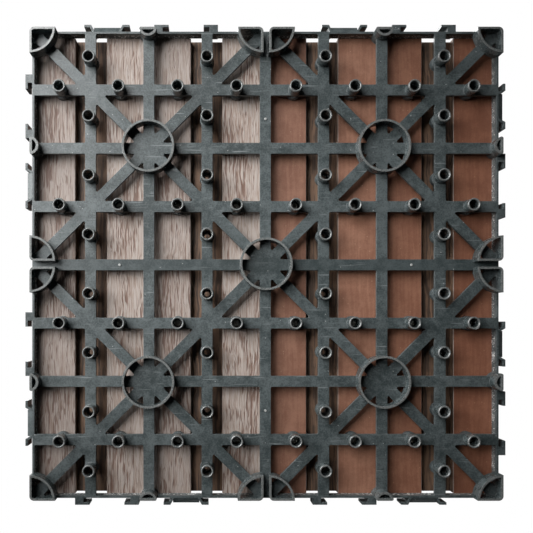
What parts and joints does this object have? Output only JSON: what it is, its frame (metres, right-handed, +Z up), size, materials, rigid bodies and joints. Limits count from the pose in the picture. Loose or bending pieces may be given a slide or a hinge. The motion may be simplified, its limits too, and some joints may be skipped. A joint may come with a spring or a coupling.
{
  "type": "interlocking deck tile",
  "caption": "Square outdoor deck tile: four grooved composite slats on a moulded plastic grid with tubular feet, rings and snap clips along every side.",
  "frame": {"origin": "centre of the tile's footprint, on the ground under the feet", "axes": "+Z up through the tread, +Y along the slats, +X across them"},
  "size_m": [0.3088, 0.3088, 0.022],
  "materials": {
    "grid_plastic": "satin, slightly scuffed",
    "slat_grained": "embossed composite, weathered grey-brown",
    "slat_smooth": "smooth extruded composite, red-brown",
    "screw_steel": "zinc plated"
  },
  "bodies": {
    "root": {"base_grid": "grid_plastic", "slat_1": "slat_grained", "slat_2": "slat_grained", "slat_3": "slat_smooth", "slat_4": "slat_smooth", "screws": "screw_steel"}
  },
  "joints": []
}
